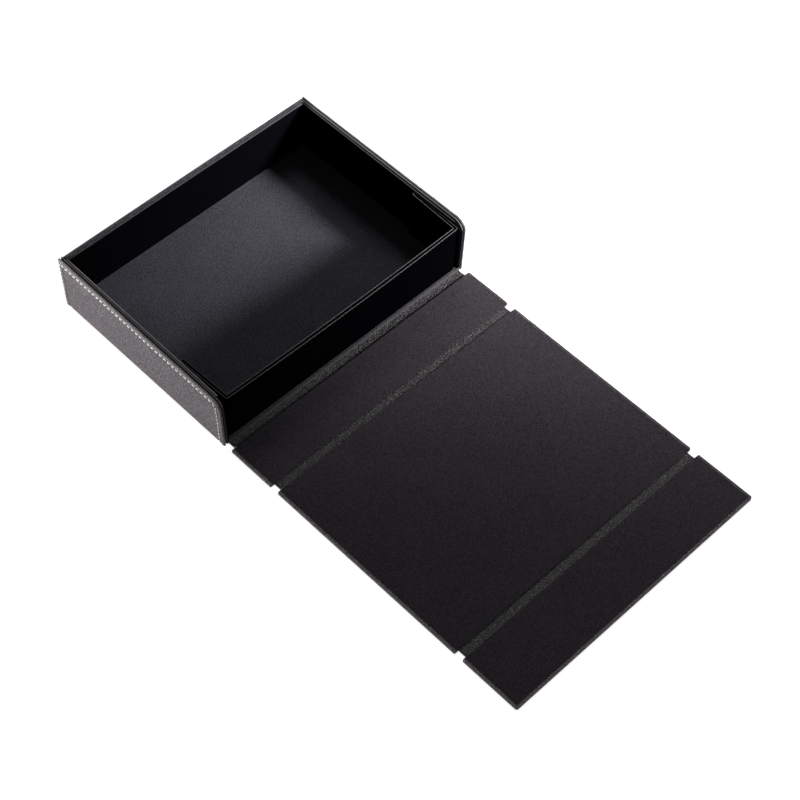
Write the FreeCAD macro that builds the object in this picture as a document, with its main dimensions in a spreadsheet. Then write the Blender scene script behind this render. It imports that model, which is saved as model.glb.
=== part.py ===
import FreeCAD, Part
import os

import Sketcher

# A leather-covered tray box with a three-panel folding cover. The cover is one outer skin of leather
# with stiff panels glued to it: a front strip, a lid and a closing flap. It folds up over the front,
# the top and the back of the tray. Here it lies open and flat.
#
# Frame: X along the long side, +Y to the back wall, +Z up. The origin is the centre of the tray's
# underside, on the surface that the box stands on.

doc = FreeCAD.newDocument("dice_storage_chest")
sheet = doc.addObject("Spreadsheet::Sheet", "Sizes")

SIZES = (
    ("box_width", 195.4, "outside to outside of the side walls"),
    ("box_depth", 145.0, "front edge to back edge of the side walls"),
    ("wall_height", 42.2, "underside to the rim of the side walls"),
    ("corner_radius", 8.0, "round at the front top corner of a side wall"),
    ("wall_leather", 1.2, "leather outside the walls"),
    ("side_card", 0.8, "card core of a side wall"),
    ("side_backing", 1.0, "inner leather of a side wall, stitched through to the outer one"),
    ("side_liner", 1.2, "lined card that faces the inside of a side wall"),
    ("edge_step", 0.7, "depth of a card core below the edges beside it"),
    ("liner_setback", 0.3, "front edge of the side liner behind that of its leather"),
    ("back_inset", 0.1, "back wall's outer face in front of the side walls' back edges"),
    ("back_drop", 0.3, "back wall's rim below the side walls' rim"),
    ("back_card", 2.2, "card of the back wall"),
    ("back_liner", 1.2, "lined card that faces the inside of the back wall"),
    ("base_card", 2.2, "card of the base"),
    ("base_cloth", 0.4, "microfibre over the base card, seen as a ledge at the front"),
    ("floor_card", 1.8, "raised card under the tray floor"),
    ("floor_cloth", 0.4, "microfibre on the tray floor"),
    ("front_setback", 1.5, "front wall's outer face behind the front edge of the base"),
    ("front_card", 1.4, "card core of the front wall"),
    ("front_cloth", 0.5, "microfibre wrapped round the front wall"),
    ("front_drop", 1.2, "front wall's rim below the side walls' rim"),
    ("return_length", 38.7, "reach of the front wall's two returns along the side walls"),
    ("splay_angle", 2.1, "angle at which a return springs outwards, in degrees"),
    ("return_seat", 0.1, "glue line between the tip of a return and the side liner"),
    ("bend_radius", 1.6, "outer radius of the front wall's two bends"),
    ("round_flat", 0.1, "flat left between two rounds that would otherwise meet"),
    ("floor_clearance", 0.15, "room between the floor and the front wall's returns"),
    ("cover_leather", 0.6, "outer skin: leather under the base and outside the cover panels"),
    ("cover_card", 1.0, "card of the cover panels"),
    ("cover_cloth", 0.4, "microfibre on the inside of the cover panels"),
    ("turn_in", 1.6, "leather turned in over the outer edges of a panel's card"),
    ("cloth_margin", 0.1, "microfibre short of the leather turned in beside it"),
    ("panel_round", 0.5, "round at the panel corners beside a groove"),
    ("flap_round", 1.5, "round at the two free corners of the closing flap"),
    ("groove", 6.0, "width of a leather groove between two panels"),
    ("groove_leather", 0.4, "inner leather glued over the skin in a groove"),
    ("groove_inset", 3.1, "end of a groove inside the ends of the panels"),
    ("crease_inset", 1.4, "fold line of a groove to the nearer of the two edges beside it"),
    ("crease_gap", 0.44, "width of the fold line itself, left free between its two sides"),
    ("lid_gap", 0.45, "closed lid above the side walls' rim"),
    ("flap_gap", 0.38, "closed flap behind the side walls' back edges"),
    ("flap_foot", 1.6, "closed flap above the underside"),
    ("magnet_diameter", 10.0, "closing magnets, seen from the back"),
    ("magnet_thickness", 1.0, "closing magnets"),
    ("magnet_spacing", 110.0, "centre to centre of the two magnets of a pair"),
    ("magnet_height", 22.0, "closing magnets above the underside when the box is closed"),
    ("magnet_clearance", 0.1, "room around a magnet in its card"),
)

for row, (alias, number, meaning) in enumerate(SIZES, start=1):
    sheet.set(f"A{row}", meaning)
    sheet.set(f"B{row}", str(number))
    sheet.setAlias(f"B{row}", alias)
doc.recompute()

# Places and lengths that follow from the driving sizes, as expressions on the sheet.

FRONT = "(-Sizes.box_depth / 2)"
BACK = "(Sizes.box_depth / 2)"
HALF_WIDTH = "(Sizes.box_width / 2)"

SIDE_SHELL = "(Sizes.wall_leather + Sizes.side_card + Sizes.side_backing)"
SIDE_STACK = f"({SIDE_SHELL} + Sizes.side_liner)"
INSIDE_SHELL = f"({HALF_WIDTH} - {SIDE_SHELL})"
INSIDE_LINER = f"({HALF_WIDTH} - {SIDE_STACK})"

BASE_TOP = "(Sizes.cover_leather + Sizes.base_card + Sizes.base_cloth)"

BACK_FACE = f"({BACK} - Sizes.back_inset)"
BACK_CARD_FACE = f"({BACK_FACE} - Sizes.wall_leather)"
BACK_LINER_BACK = f"({BACK_CARD_FACE} - Sizes.back_card)"
BACK_LINER_FACE = f"({BACK_LINER_BACK} - Sizes.back_liner)"
BACK_RIM = "(Sizes.wall_height - Sizes.back_drop)"

WALL_FACE = f"({FRONT} + Sizes.front_setback)"
WALL_STACK = "(Sizes.front_card + 2 * Sizes.front_cloth)"
WALL_RIM = "(Sizes.wall_height - Sizes.front_drop)"
SPLAY = "tan(Sizes.splay_angle)"
WALL_HALF = f"({INSIDE_LINER} - Sizes.return_seat - Sizes.return_length * {SPLAY})"

COVER_STACK = "(Sizes.cover_leather + Sizes.cover_card + Sizes.cover_cloth)"
FOLD_HEIGHT = "(Sizes.cover_leather + Sizes.groove_leather)"
PANEL_RISE = f"({COVER_STACK} - {FOLD_HEIGHT})"

# A groove's leather creases along one line, on its inner face. The line lies beside the tray in the
# first groove, and beside the lid and the flap in the other two. Each turns 90 degrees to close. The
# strip is then as long as the front is high, and the lid as long as the tray is deep.
SHORT_SIDE = "Sizes.crease_inset"
LONG_SIDE = "(Sizes.groove - Sizes.crease_inset)"
LID_FOLD = f"(Sizes.wall_height + Sizes.lid_gap + {PANEL_RISE})"
FLAP_FOLD = f"(Sizes.box_depth + Sizes.flap_gap + {PANEL_RISE})"
STRIP_LENGTH = f"({LID_FOLD} - {FOLD_HEIGHT} - 2 * {LONG_SIDE})"
LID_LENGTH = f"({FLAP_FOLD} - {LONG_SIDE})"
FLAP_TOP = f"({LID_FOLD} - {SHORT_SIDE})"
FLAP_LENGTH = f"({FLAP_TOP} - Sizes.flap_foot)"

STRIP_START = f"({FRONT} - Sizes.groove)"
STRIP_END = f"({STRIP_START} - {STRIP_LENGTH})"
LID_START = f"({STRIP_END} - Sizes.groove)"
LID_END = f"({LID_START} - {LID_LENGTH})"
FLAP_START = f"({LID_END} - Sizes.groove)"


def value(expression):
    return float(sheet.evalExpression(expression))


def origin_plane(body, role):
    return next(plane for plane in body.Origin.OriginFeatures if plane.Role == role)


def new_body(name):
    body = doc.addObject("PartDesign::Body", name)
    body.Label = name
    return body


def place(body, x, y, z):
    """Put a piece's own origin at a point of the box."""
    for axis, expression in zip("xyz", (x, y, z)):
        body.setExpression(f"Placement.Base.{axis}", expression)


def outline(body, name, role, points, offset="0"):
    """Draw a closed outline of straight edges on one of a body's origin planes."""
    sketch = body.newObject("Sketcher::SketchObject", name)
    sketch.AttachmentSupport = [(origin_plane(body, role), "")]
    sketch.MapMode = "FlatFace"
    sketch.setExpression("AttachmentOffset.Base.z", offset)
    corners = [FreeCAD.Vector(value(across), value(up), 0) for across, up in points]
    following = corners[1:] + corners[:1]
    for start, end in zip(corners, following):
        sketch.addGeometry(Part.LineSegment(start, end), False)
    for edge in range(len(points)):
        after = (edge + 1) % len(points)
        sketch.addConstraint(Sketcher.Constraint("Coincident", edge, 2, after, 1))
    for edge, (across, up) in enumerate(points):
        for kind, axis, expression in (("DistanceX", -2, across), ("DistanceY", -1, up)):
            if expression == "0":
                sketch.addConstraint(Sketcher.Constraint("PointOnObject", edge, 1, axis))
                continue
            size = Sketcher.Constraint(kind, -1, 1, edge, 1, value(expression))
            index = sketch.addConstraint(size)
            sketch.setExpression(f"Constraints[{index}]", expression)
    return sketch


def rectangle(width, height):
    return (("0", "0"), (width, "0"), (width, height), ("0", height))


def pad(body, sketch, length, name="Pad"):
    feature = body.newObject("PartDesign::Pad", name)
    feature.Profile = sketch
    feature.setExpression("Length", length)
    return feature


def pocket(body, sketch, name="Pocket"):
    """Cut a profile upwards, right through the piece that stands on its plane."""
    before = body.Tip
    doc.recompute()
    solid = before.Shape.Volume
    feature = body.newObject("PartDesign::Pocket", name)
    feature.Profile = sketch
    feature.Type = "ThroughAll"
    feature.Reversed = True
    doc.recompute()
    if feature.Shape.Volume >= solid:
        raise RuntimeError(f"{body.Label}: {name} cuts nothing")
    return feature


def mirror(body, features, name="Mirrored"):
    feature = body.newObject("PartDesign::Mirrored", name)
    feature.Originals = features
    feature.MirrorPlane = (origin_plane(body, "YZ_Plane"), [""])
    body.Tip = feature
    return feature


def edges_at(feature, spots, axes):
    """Names of the edges whose middle lies at one of the spots, along the two named axes."""
    doc.recompute()
    closeness = 1e-4
    names = []
    for number, edge in enumerate(feature.Shape.Edges, start=1):
        middle = edge.CenterOfMass
        here = [getattr(middle, axis) for axis in axes]
        if any(abs(here[0] - a) + abs(here[1] - b) < closeness for a, b in spots):
            names.append(f"Edge{number}")
    if len(names) < len(spots):
        raise RuntimeError(f"{feature.Label}: an edge to round wasn't found")
    return names


def round_edges(body, spots, radius, axes="xy", name="Rounds"):
    base = body.Tip
    names = edges_at(base, spots, axes)
    feature = body.newObject("PartDesign::Fillet", name)
    feature.Base = (base, names)
    feature.setExpression("Radius", radius)
    return feature


# --- Flat pieces -----------------------------------------------------------------------------------


def sheet_piece(name, width, depth, thickness, y, z):
    """A flat rectangular card, leather or cloth, centred on the box's middle plane."""
    body = new_body(name)
    pad(body, outline(body, f"{name}_plan", "XY_Plane", rectangle(width, depth)), thickness)
    place(body, f"-({width}) / 2", y, z)
    return body


# The base: the outer skin below, a stiff card, and a cloth that shows as a ledge before the front
# wall. All three lie between the side walls, and the back wall's leather closes them behind. The
# skin runs out in front as a tongue, to the fold line of the first groove.

BASE_WIDTH = f"(2 * {INSIDE_SHELL})"
BASE_DEPTH = f"({BACK_CARD_FACE} - {FRONT})"
CARD_TOP = "(Sizes.cover_leather + Sizes.base_card)"
GROOVE_WIDTH = "(Sizes.box_width - 2 * Sizes.groove_inset)"
SHORT_TONGUE = f"({SHORT_SIDE} - Sizes.crease_gap / 2)"
LONG_TONGUE = f"({LONG_SIDE} - Sizes.crease_gap / 2)"

SHOULDER = f"(({BASE_WIDTH} - {GROOVE_WIDTH}) / 2)"
BASE_PLAN = (
    (SHOULDER, "0"),
    (f"{BASE_WIDTH} - {SHOULDER}", "0"),
    (f"{BASE_WIDTH} - {SHOULDER}", SHORT_TONGUE),
    (BASE_WIDTH, SHORT_TONGUE),
    (BASE_WIDTH, f"{BASE_DEPTH} + {SHORT_TONGUE}"),
    ("0", f"{BASE_DEPTH} + {SHORT_TONGUE}"),
    ("0", SHORT_TONGUE),
    (SHOULDER, SHORT_TONGUE),
)
base_leather = new_body("base_leather")
pad(base_leather, outline(base_leather, "base_leather_plan", "XY_Plane", BASE_PLAN), "Sizes.cover_leather")
place(base_leather, f"-{INSIDE_SHELL}", f"{FRONT} - {SHORT_TONGUE}", "0")

sheet_piece("base_card", BASE_WIDTH, BASE_DEPTH, "Sizes.base_card", FRONT, "Sizes.cover_leather")
sheet_piece("base_cloth", BASE_WIDTH, BASE_DEPTH, "Sizes.base_cloth", FRONT, CARD_TOP)


# --- Side walls ------------------------------------------------------------------------------------


def side_layer(side, layer, inward, thickness, front, bottom, length, height, radius):
    """One layer of a side wall, with the round at its front top corner."""
    body = new_body(f"{side}_side_{layer}")
    profile = outline(body, f"{body.Name}_profile", "YZ_Plane", rectangle(length, height))
    pad(body, profile, thickness)
    round_edges(body, [(0.0, value(height))], radius, axes="yz")
    outer = f"{HALF_WIDTH} - ({inward})"
    x = f"-({outer})" if side == "left" else f"{outer} - {thickness}"
    place(body, x, front, bottom)
    return body


# A side wall is leather, card and a second leather, stitched together round the edge. A lined card
# is glued inside it. The card core is a little smaller all round, so a dark line shows on the rim.

CORE_LENGTH = "(Sizes.box_depth - 2 * Sizes.edge_step)"
CORE_HEIGHT = "(Sizes.wall_height - 2 * Sizes.edge_step)"
CORE_RADIUS = "(Sizes.corner_radius - Sizes.edge_step)"
LINER_FRONT = f"({FRONT} + Sizes.liner_setback)"
LINER_LENGTH = f"({BACK_LINER_BACK} - {LINER_FRONT})"
LINER_HEIGHT = f"(Sizes.wall_height - {BASE_TOP})"
CARD_INWARD = "Sizes.wall_leather"
BACKING_INWARD = "(Sizes.wall_leather + Sizes.side_card)"

for side in ("left", "right"):
    whole = ("Sizes.box_depth", "Sizes.wall_height", "Sizes.corner_radius")
    side_layer(side, "leather", "0", "Sizes.wall_leather", FRONT, "0", *whole)
    side_layer(
        side, "card", CARD_INWARD, "Sizes.side_card",
        f"{FRONT} + Sizes.edge_step", "Sizes.edge_step", CORE_LENGTH, CORE_HEIGHT, CORE_RADIUS,
    )
    side_layer(side, "backing", BACKING_INWARD, "Sizes.side_backing", FRONT, "0", *whole)
    side_layer(
        side, "liner", SIDE_SHELL, "Sizes.side_liner",
        LINER_FRONT, BASE_TOP, LINER_LENGTH, LINER_HEIGHT, "Sizes.corner_radius",
    )


# --- Back wall -------------------------------------------------------------------------------------

# The back wall's leather comes up from the table and folds forwards over the top of its card.

FOLD_DEPTH = "(Sizes.wall_leather + Sizes.back_card)"
UNDER_FOLD = f"({BACK_RIM} - Sizes.wall_leather)"

back_leather = new_body("back_leather")
FOLDED_OVER = (
    ("0", UNDER_FOLD),
    ("Sizes.back_card", UNDER_FOLD),
    ("Sizes.back_card", "0"),
    (FOLD_DEPTH, "0"),
    (FOLD_DEPTH, BACK_RIM),
    ("0", BACK_RIM),
)
pad(back_leather, outline(back_leather, "back_leather_profile", "YZ_Plane", FOLDED_OVER), BASE_WIDTH)
place(back_leather, f"-{INSIDE_SHELL}", BACK_LINER_BACK, "0")

BACK_CARD_HEIGHT = f"({UNDER_FOLD} - {BASE_TOP})"
back_card = new_body("back_card")
pad(
    back_card,
    outline(back_card, "back_card_plan", "XY_Plane", rectangle(BASE_WIDTH, "Sizes.back_card")),
    BACK_CARD_HEIGHT,
)
place(back_card, f"-{INSIDE_SHELL}", BACK_LINER_BACK, BASE_TOP)

sheet_piece(
    "back_liner", f"(2 * {INSIDE_LINER})", "Sizes.back_liner",
    f"({BACK_RIM} - {BASE_TOP})", BACK_LINER_FACE, BASE_TOP,
)


# --- Front wall ------------------------------------------------------------------------------------


def bent_outline(inset):
    """The right half of the front wall in plan, set in all round: front face, then the return."""
    lean = "cos(Sizes.splay_angle)"
    outer = f"{WALL_HALF} - ({inset}) / {lean}"
    inner = f"{WALL_HALF} - ({WALL_STACK} - ({inset})) / {lean}"
    near = inset
    far = f"{WALL_STACK} - ({inset})"
    tip = f"Sizes.return_length - ({inset})"
    return (
        ("0", near),
        (f"{outer} + ({near}) * {SPLAY}", near),
        (f"{outer} + ({tip}) * {SPLAY}", tip),
        (f"{inner} + ({tip}) * {SPLAY}", tip),
        (f"{inner} + ({far}) * {SPLAY}", far),
        ("0", far),
    )


def both_sides(spots):
    return [(value(x), value(y)) for x, y in spots] + [(-value(x), value(y)) for x, y in spots]


# The front wall is one card, bent twice, so that a short return lies along each side wall. The
# returns spring outwards and their tips are glued to the side liners. Microfibre is wrapped round
# both faces and the tips, and stands a little above the card.

CLOTH_PLAN = bent_outline("0")
CARD_PLAN = bent_outline("Sizes.front_cloth")
CARD_BEND = "(Sizes.bend_radius - Sizes.front_cloth)"
CLOTH_TIP = f"({WALL_STACK} - Sizes.round_flat) / 2"
CARD_TIP = "(Sizes.front_card - Sizes.round_flat) / 2"
WALL_HEIGHT = f"({WALL_RIM} - {BASE_TOP})"

front_card = new_body("front_wall_card")
card_pad = pad(
    front_card,
    outline(front_card, "front_wall_card_plan", "XY_Plane", CARD_PLAN),
    f"{WALL_HEIGHT} - Sizes.edge_step",
)
mirror(front_card, [card_pad])
round_edges(front_card, both_sides(CARD_PLAN[1:2]), CARD_BEND, name="Bend")
round_edges(front_card, both_sides(CARD_PLAN[2:4]), CARD_TIP, name="Tip")
place(front_card, "0", WALL_FACE, BASE_TOP)

front_cloth = new_body("front_wall_cloth")
cloth_pad = pad(
    front_cloth,
    outline(front_cloth, "front_wall_cloth_plan", "XY_Plane", CLOTH_PLAN),
    WALL_HEIGHT,
)
card_space = pocket(front_cloth, outline(front_cloth, "card_space_plan", "XY_Plane", CARD_PLAN))
mirror(front_cloth, [cloth_pad, card_space])
round_edges(front_cloth, both_sides(CLOTH_PLAN[1:2]), "Sizes.bend_radius", name="Bend")
round_edges(front_cloth, both_sides(CLOTH_PLAN[2:4]), CLOTH_TIP, name="Tip")
round_edges(front_cloth, both_sides(CARD_PLAN[1:2]), CARD_BEND, name="CardBend")
round_edges(front_cloth, both_sides(CARD_PLAN[2:4]), CARD_TIP, name="CardTip")
place(front_cloth, "0", WALL_FACE, BASE_TOP)


# --- Tray floor ------------------------------------------------------------------------------------

# The floor's card and cloth fill the tray and are cut away at the front corners for the returns.

NOTCH_SIDE = f"({CLOTH_PLAN[4][0]} - Sizes.floor_clearance)"
NOTCH_LENGTH = f"(Sizes.return_length - {WALL_STACK} + Sizes.floor_clearance)"
FLOOR_DEPTH = f"({BACK_LINER_FACE} - {WALL_FACE} - {WALL_STACK})"
FLOOR_PLAN = (
    ("0", "0"),
    (NOTCH_SIDE, "0"),
    (f"{NOTCH_SIDE} + {NOTCH_LENGTH} * {SPLAY}", NOTCH_LENGTH),
    (INSIDE_LINER, NOTCH_LENGTH),
    (INSIDE_LINER, FLOOR_DEPTH),
    ("0", FLOOR_DEPTH),
)


def floor_piece(name, thickness, z):
    body = new_body(name)
    half = pad(body, outline(body, f"{name}_plan", "XY_Plane", FLOOR_PLAN), thickness)
    mirror(body, [half])
    place(body, "0", f"{WALL_FACE} + {WALL_STACK}", z)
    return body


floor_piece("floor_card", "Sizes.floor_card", BASE_TOP)
floor_piece("floor_cloth", "Sizes.floor_cloth", f"{BASE_TOP} + Sizes.floor_card")


# --- Cover panels ----------------------------------------------------------------------------------


def run_of(name, profile, length, start, x):
    """Draw a profile across the cover and run it away from the tray, beginning at start."""
    body = new_body(name)
    pad(body, outline(body, f"{name}_profile", "XZ_Plane", profile), length)
    place(body, x, start, "0")
    return body


def raised(profile, rise):
    if rise == "0":
        return profile
    return tuple((across, f"{up} + {rise}") for across, up in profile)


# A panel is a card whose leather is turned up and in over its two ends, with microfibre between the
# two turned-in edges. The leather runs out flat, as a tongue into each groove beside it, as far as
# the fold line.

TURN_UP = "(Sizes.cover_leather + Sizes.cover_card)"
CHANNEL = (
    ("0", "0"),
    ("Sizes.box_width", "0"),
    ("Sizes.box_width", COVER_STACK),
    ("Sizes.box_width - Sizes.turn_in", COVER_STACK),
    ("Sizes.box_width - Sizes.turn_in", TURN_UP),
    ("Sizes.box_width - Sizes.cover_leather", TURN_UP),
    ("Sizes.box_width - Sizes.cover_leather", "Sizes.cover_leather"),
    ("Sizes.cover_leather", "Sizes.cover_leather"),
    ("Sizes.cover_leather", TURN_UP),
    ("Sizes.turn_in", TURN_UP),
    ("Sizes.turn_in", COVER_STACK),
    ("0", COVER_STACK),
)
TONGUE_SECTION = (
    ("Sizes.groove_inset", "0"),
    ("Sizes.box_width - Sizes.groove_inset", "0"),
    ("Sizes.box_width - Sizes.groove_inset", "Sizes.cover_leather"),
    ("Sizes.groove_inset", "Sizes.cover_leather"),
)
CARD_WIDTH = "(Sizes.box_width - 2 * Sizes.cover_leather)"
CLOTH_INSET = "(Sizes.turn_in + Sizes.cloth_margin)"
CLOTH_WIDTH = f"(Sizes.box_width - 2 * {CLOTH_INSET})"
CARD_SECTION = raised(rectangle(CARD_WIDTH, "Sizes.cover_card"), "Sizes.cover_leather")
CLOTH_SECTION = raised(rectangle(CLOTH_WIDTH, "Sizes.cover_cloth"), TURN_UP)


def tongue(leather, side, start, reach):
    """Run a panel's leather out flat into a groove, from start by reach away from the tray."""
    section = outline(leather, f"{leather.Name}_{side}_tongue", "XZ_Plane", TONGUE_SECTION, start)
    pad(leather, section, reach, f"{side.title()}Tongue")


def corners(width, length, far_only=False):
    """Plan corners of a piece that runs away from the tray, in its own axes."""
    far = -value(length)
    return [(x, y) for x in (0.0, value(width)) for y in ((far,) if far_only else (0.0, far))]


def cover_panel(panel, start, length, near_reach, far_reach):
    """A panel between two grooves, with small rounds at its four corners."""
    leather = run_of(f"{panel}_leather", CHANNEL, length, start, f"-{HALF_WIDTH}")
    tongue(leather, "near", f"-{near_reach}", near_reach)
    tongue(leather, "far", length, far_reach)
    round_edges(leather, corners("Sizes.box_width", length), "Sizes.panel_round", name="Corners")
    run_of(f"{panel}_card", CARD_SECTION, length, start, f"-({CARD_WIDTH}) / 2")
    run_of(f"{panel}_cloth", CLOTH_SECTION, length, start, f"-({CLOTH_WIDTH}) / 2")


cover_panel("front_strip", STRIP_START, STRIP_LENGTH, LONG_TONGUE, LONG_TONGUE)
cover_panel("lid", LID_START, LID_LENGTH, SHORT_TONGUE, LONG_TONGUE)

# The closing flap ends the cover, so its leather is turned up and in along the free edge too, round
# two rounded corners.

FLAP_CARD_LENGTH = f"({FLAP_LENGTH} - Sizes.cover_leather)"
FLAP_CLOTH_LENGTH = f"({FLAP_LENGTH} - {CLOTH_INSET})"
CARD_ROUND = "(Sizes.flap_round - Sizes.cover_leather)"

flap_leather = run_of("closing_flap_leather", CHANNEL, FLAP_CARD_LENGTH, FLAP_START, f"-{HALF_WIDTH}")
free_edge = outline(
    flap_leather, "free_edge_profile", "XZ_Plane",
    rectangle("Sizes.box_width", TURN_UP), FLAP_CARD_LENGTH,
)
pad(flap_leather, free_edge, "Sizes.cover_leather", "FreeEdge")
turned_in = outline(
    flap_leather, "free_turn_in_profile", "XZ_Plane",
    raised(rectangle("Sizes.box_width", "Sizes.cover_cloth"), TURN_UP),
    f"{FLAP_LENGTH} - Sizes.turn_in",
)
pad(flap_leather, turned_in, "Sizes.turn_in", "FreeTurnIn")
tongue(flap_leather, "near", f"-{SHORT_TONGUE}", SHORT_TONGUE)
outer_corners = corners("Sizes.box_width", FLAP_LENGTH, far_only=True)
round_edges(flap_leather, outer_corners, "Sizes.flap_round", name="FreeCorners")
skin = "Sizes.cover_leather"
inner_corners = [
    (value(x), -value(FLAP_CARD_LENGTH)) for x in (skin, f"Sizes.box_width - {skin}")
]
round_edges(flap_leather, inner_corners, CARD_ROUND, name="CardCorners")
groove_corners = [(x, 0.0) for x in (0.0, value("Sizes.box_width"))]
round_edges(flap_leather, groove_corners, "Sizes.panel_round", name="GrooveCorners")

flap_card = run_of(
    "closing_flap_card", CARD_SECTION, FLAP_CARD_LENGTH, FLAP_START, f"-({CARD_WIDTH}) / 2"
)
card_corners = corners(CARD_WIDTH, FLAP_CARD_LENGTH, far_only=True)
round_edges(flap_card, card_corners, CARD_ROUND, name="FreeCorners")
run_of("closing_flap_cloth", CLOTH_SECTION, FLAP_CLOTH_LENGTH, FLAP_START, f"-({CLOTH_WIDTH}) / 2")


# --- Leather grooves -------------------------------------------------------------------------------

# Between two panels only leather is left: the tongues of the outer skin, and an inner leather glued
# over them with its grain inwards. It parts along the fold line too.


def groove(panel, start, near_reach, far_reach):
    """The inner leather of a groove that begins at start, on both sides of its fold line."""
    end = f"{start} - Sizes.groove"
    for side, reach, low in (("near", near_reach, f"{start} - {near_reach}"), ("far", far_reach, end)):
        name = f"{panel}_groove_{side}"
        sheet_piece(name, GROOVE_WIDTH, reach, "Sizes.groove_leather", low, "Sizes.cover_leather")


groove("front", FRONT, SHORT_TONGUE, LONG_TONGUE)
groove("lid", STRIP_END, LONG_TONGUE, SHORT_TONGUE)
groove("flap", LID_END, LONG_TONGUE, SHORT_TONGUE)


# --- Closing magnets -------------------------------------------------------------------------------


def magnet_holes(body, plane, height, first):
    """Cut a pair of round holes through a card, magnet_spacing apart about its middle."""
    doc.recompute()
    solid = body.Shape.Volume
    sketch = body.newObject("Sketcher::SketchObject", f"{body.Name}_magnets")
    sketch.AttachmentSupport = [(origin_plane(body, plane), "")]
    sketch.MapMode = "FlatFace"
    hole = "Sizes.magnet_diameter / 2 + Sizes.magnet_clearance"
    for number, across in enumerate((first, f"{first} + Sizes.magnet_spacing")):
        centre = FreeCAD.Vector(value(across), value(height), 0)
        circle = Part.Circle(centre, FreeCAD.Vector(0, 0, 1), value(hole))
        sketch.addGeometry(circle, False)
        sizes = (
            (Sketcher.Constraint("DistanceX", -1, 1, number, 3, value(across)), across),
            (Sketcher.Constraint("DistanceY", -1, 1, number, 3, value(height)), height),
            (Sketcher.Constraint("Radius", number, value(hole)), hole),
        )
        for constraint, expression in sizes:
            index = sketch.addConstraint(constraint)
            sketch.setExpression(f"Constraints[{index}]", expression)
    holes = body.newObject("PartDesign::Pocket", "MagnetHoles")
    holes.Profile = sketch
    holes.Type = "ThroughAll"
    holes.Midplane = True
    doc.recompute()
    if body.Shape.Volume >= solid:
        raise RuntimeError(f"{body.Label}: the magnet holes cut nothing")
    return holes


def magnet_pair(name, axis, x, y, z):
    """Two disc magnets in one node, about the box's middle plane."""
    discs = []
    for side, sign in (("left", "-"), ("right", "")):
        disc = doc.addObject("Part::Cylinder", f"{name}_{side}")
        disc.setExpression("Radius", "Sizes.magnet_diameter / 2")
        disc.setExpression("Height", "Sizes.magnet_thickness")
        turned = FreeCAD.Rotation(FreeCAD.Vector(0, 0, 1), axis)
        disc.Placement = FreeCAD.Placement(FreeCAD.Vector(), turned)
        place(disc, f"{sign}{x}", y, z)
        discs.append(disc)
    pair = doc.addObject("Part::Compound", name)
    pair.Label = name
    pair.Links = discs
    return pair


# One pair of discs lies in holes in the back wall's card, against its leather. The other lies in the
# flap's card, under the cloth, and meets the first once the flap hangs down behind the wall.

HALF_SPACING = "Sizes.magnet_spacing / 2"
IN_BACK_CARD = f"({INSIDE_SHELL} - {HALF_SPACING})"
IN_FLAP_CARD = f"({CARD_WIDTH} / 2 - {HALF_SPACING})"
FLAP_MAGNET_REACH = f"({FLAP_TOP} - Sizes.magnet_height)"

magnet_holes(back_card, "XZ_Plane", f"(Sizes.magnet_height - {BASE_TOP})", IN_BACK_CARD)
magnet_pair(
    "back_magnets", FreeCAD.Vector(0, 1, 0), HALF_SPACING,
    f"{BACK_CARD_FACE} - Sizes.magnet_thickness", "Sizes.magnet_height",
)
magnet_holes(flap_card, "XY_Plane", f"-{FLAP_MAGNET_REACH}", IN_FLAP_CARD)
magnet_pair(
    "flap_magnets", FreeCAD.Vector(0, 0, 1), HALF_SPACING,
    f"{FLAP_START} - {FLAP_MAGNET_REACH}", f"{TURN_UP} - Sizes.magnet_thickness",
)


# --- Check and write -------------------------------------------------------------------------------

doc.recompute()
for thing in doc.Objects:
    if {"Invalid", "Error"} & set(thing.State):
        raise RuntimeError(f"{thing.Label} didn't build: {thing.State}")
    shape = getattr(thing, "Shape", None)
    if shape is not None and (shape.isNull() or not shape.isValid()):
        raise RuntimeError(f"{thing.Label} has no valid shape")

os.makedirs("parts", exist_ok=True)
PIECE_KINDS = ("PartDesign::Body", "Part::Compound")
for piece in doc.Objects:
    if piece.TypeId in PIECE_KINDS:
        piece.Shape.exportStep(f"parts/{piece.Label}.step")
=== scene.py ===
import math

import bmesh
import bpy
from mathutils import Matrix, Vector, noise


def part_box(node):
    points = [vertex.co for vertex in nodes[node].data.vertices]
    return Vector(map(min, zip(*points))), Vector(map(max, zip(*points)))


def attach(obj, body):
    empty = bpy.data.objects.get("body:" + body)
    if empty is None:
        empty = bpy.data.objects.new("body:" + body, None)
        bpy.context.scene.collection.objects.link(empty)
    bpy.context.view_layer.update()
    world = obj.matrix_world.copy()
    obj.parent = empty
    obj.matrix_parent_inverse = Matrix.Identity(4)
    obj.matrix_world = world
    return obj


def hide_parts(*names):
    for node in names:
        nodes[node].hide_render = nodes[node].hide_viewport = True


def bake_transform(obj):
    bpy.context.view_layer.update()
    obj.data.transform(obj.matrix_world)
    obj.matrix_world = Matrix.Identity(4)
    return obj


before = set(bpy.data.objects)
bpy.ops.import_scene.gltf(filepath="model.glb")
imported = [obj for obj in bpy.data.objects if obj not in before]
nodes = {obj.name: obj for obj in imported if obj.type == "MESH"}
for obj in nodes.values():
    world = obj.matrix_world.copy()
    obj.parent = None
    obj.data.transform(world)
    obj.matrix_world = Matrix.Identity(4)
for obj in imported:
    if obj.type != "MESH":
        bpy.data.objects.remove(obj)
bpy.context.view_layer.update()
MM = 0.001


# --- Outer skin under the tray -------------------------------------------------------------------
# One large piece of black pebbled leather lies under the base and runs on over the cover panels.
# Here is the part that the tray stands on, glued flat to the base card.


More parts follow.
